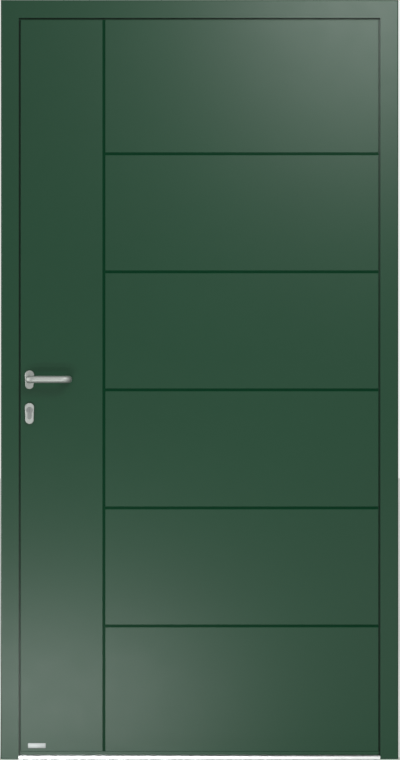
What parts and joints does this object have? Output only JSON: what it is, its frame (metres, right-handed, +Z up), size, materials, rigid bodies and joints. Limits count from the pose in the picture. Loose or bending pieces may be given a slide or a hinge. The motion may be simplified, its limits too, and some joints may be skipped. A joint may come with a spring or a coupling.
{
  "type": "panelled front door with frame",
  "caption": "Insulated aluminium front door in its frame: grooved leaf on barrel hinges, lever handles, profile cylinder, lock with latch, dead bolt and pin bolts, low threshold.",
  "frame": {"origin": "middle of the threshold's underside, in the middle of the frame's width and depth", "axes": "+Z up, -Y out of doors, +Y into the house, lock on the -X side and hinges on the +X side"},
  "size_m": [1.1, 0.198, 2.1],
  "materials": {
    "frame_paint": "satin",
    "leaf_paint": "satin",
    "inside_paint": "satin",
    "hem_paint": "satin",
    "hinge_paint": "satin",
    "bare_aluminium": "satin",
    "polyamide": "matte",
    "seal_rubber": "matte",
    "rigid_foam": "matte",
    "satin_steel": "satin",
    "lock_steel": "satin",
    "nickel_plate": "satin"
  },
  "bodies": {
    "frame": {"frame_outer_shell_lock_jamb": "frame_paint", "frame_outer_shell_hinge_jamb": "frame_paint", "frame_outer_shell_head": "frame_paint", "frame_inner_shell_lock_jamb": "frame_paint", "frame_inner_shell_hinge_jamb": "frame_paint", "frame_inner_shell_head": "frame_paint", "frame_thermal_strips": "polyamide", "frame_corner_cleats": "bare_aluminium", "frame_outer_seal": "seal_rubber", "sill_outer_profile": "bare_aluminium", "sill_thermal_break": "polyamide", "sill_inner_profile": "bare_aluminium", "main_strike_plate": "lock_steel", "pin_bolt_strikes": "lock_steel", "security_pin_keeps": "lock_steel", "hinge_frame_halves": "hinge_paint", "hinge_pins": "lock_steel", "hinge_caps": "hinge_paint"},
    "leaf": {"leaf_outside_sheet": "leaf_paint", "leaf_inside_sheet": "inside_paint", "leaf_foam_core": "rigid_foam", "leaf_outer_shell_lock_stile": "frame_paint", "leaf_outer_shell_hinge_stile": "frame_paint", "leaf_outer_shell_top_rail": "frame_paint", "leaf_outer_shell_bottom_rail": "frame_paint", "leaf_inner_shell_lock_stile": "frame_paint", "leaf_inner_shell_hinge_stile": "frame_paint", "leaf_inner_shell_top_rail": "frame_paint", "leaf_inner_shell_bottom_rail": "frame_paint", "leaf_thermal_strips": "polyamide", "leaf_corner_cleats": "bare_aluminium", "leaf_inner_seal": "seal_rubber", "bottom_seal_carrier": "hem_paint", "bottom_sweep_seal": "seal_rubber", "lock_faceplate": "lock_steel", "lock_case": "lock_steel", "pin_bolt_cases": "lock_steel", "outside_rosette": "satin_steel", "inside_rosette": "satin_steel", "outside_escutcheon": "satin_steel", "inside_escutcheon": "satin_steel", "cylinder_body": "nickel_plate", "cylinder_fixing_screw": "lock_steel", "hinge_leaf_halves": "hinge_paint", "hinge_bushes": "polyamide", "hinge_side_security_pins": "lock_steel"},
    "lever_set": {"outside_lever": "satin_steel", "inside_lever": "satin_steel", "lever_spindle": "lock_steel", "follower": "lock_steel"},
    "latch": {"latch_bolt": "lock_steel"},
    "cylinder_plug": {"cylinder_outside_plug": "nickel_plate", "cylinder_inside_plug": "nickel_plate", "cylinder_cam": "nickel_plate"},
    "dead_bolt": {"dead_bolt": "lock_steel"},
    "upper_rod": {"upper_drive_rod": "lock_steel"},
    "lower_rod": {"lower_drive_rod": "lock_steel"},
    "upper_pin": {"upper_pin_bolt": "lock_steel"},
    "lower_pin": {"lower_pin_bolt": "lock_steel"}
  },
  "joints": [
    {"name": "leaf_swing", "type": "hinge", "parent": "frame", "child": "leaf", "pos_m": [0.5225, 0.052, 0], "axis": [0, 0, -1], "range_deg": [0, 110]},
    {"name": "lever_turn", "type": "hinge", "parent": "leaf", "child": "lever_set", "pos_m": [-0.47, 0, 1.05], "axis": [0, 1, 0], "range_deg": [0, 40], "stiffness_Nm_per_rad": 1.5, "springref_deg": -34.38},
    {"name": "latch_slide", "type": "slide", "parent": "leaf", "child": "latch", "axis": [1, 0, 0], "range_m": [0, 0.012]},
    {"name": "key_turn", "type": "hinge", "parent": "leaf", "child": "cylinder_plug", "pos_m": [-0.47, 0, 0.965], "axis": [0, 1, 0], "range_deg": [0, 360]},
    {"name": "dead_bolt_slide", "type": "slide", "parent": "leaf", "child": "dead_bolt", "axis": [-1, 0, 0], "range_m": [0, 0.02]},
    {"name": "upper_rod_slide", "type": "slide", "parent": "leaf", "child": "upper_rod", "axis": [0, 0, 1], "range_m": [0, 0.018]},
    {"name": "lower_rod_slide", "type": "slide", "parent": "leaf", "child": "lower_rod", "axis": [0, 0, -1], "range_m": [0, 0.018]},
    {"name": "upper_pin_slide", "type": "slide", "parent": "leaf", "child": "upper_pin", "axis": [-1, 0, 0], "range_m": [0, 0.018]},
    {"name": "lower_pin_slide", "type": "slide", "parent": "leaf", "child": "lower_pin", "axis": [-1, 0, 0], "range_m": [0, 0.018]}
  ],
  "couplings": [
    {"joint": "latch_slide", "follows": "lever_turn", "m_per_rad": 0.01718},
    {"joint": "key_turn", "follows": "upper_rod_slide", "rad_per_m": 349.06},
    {"joint": "dead_bolt_slide", "follows": "upper_rod_slide", "ratio": 1.111},
    {"joint": "lower_rod_slide", "follows": "upper_rod_slide", "ratio": 1},
    {"joint": "upper_pin_slide", "follows": "upper_rod_slide", "ratio": 1},
    {"joint": "lower_pin_slide", "follows": "upper_rod_slide", "ratio": 1}
  ]
}
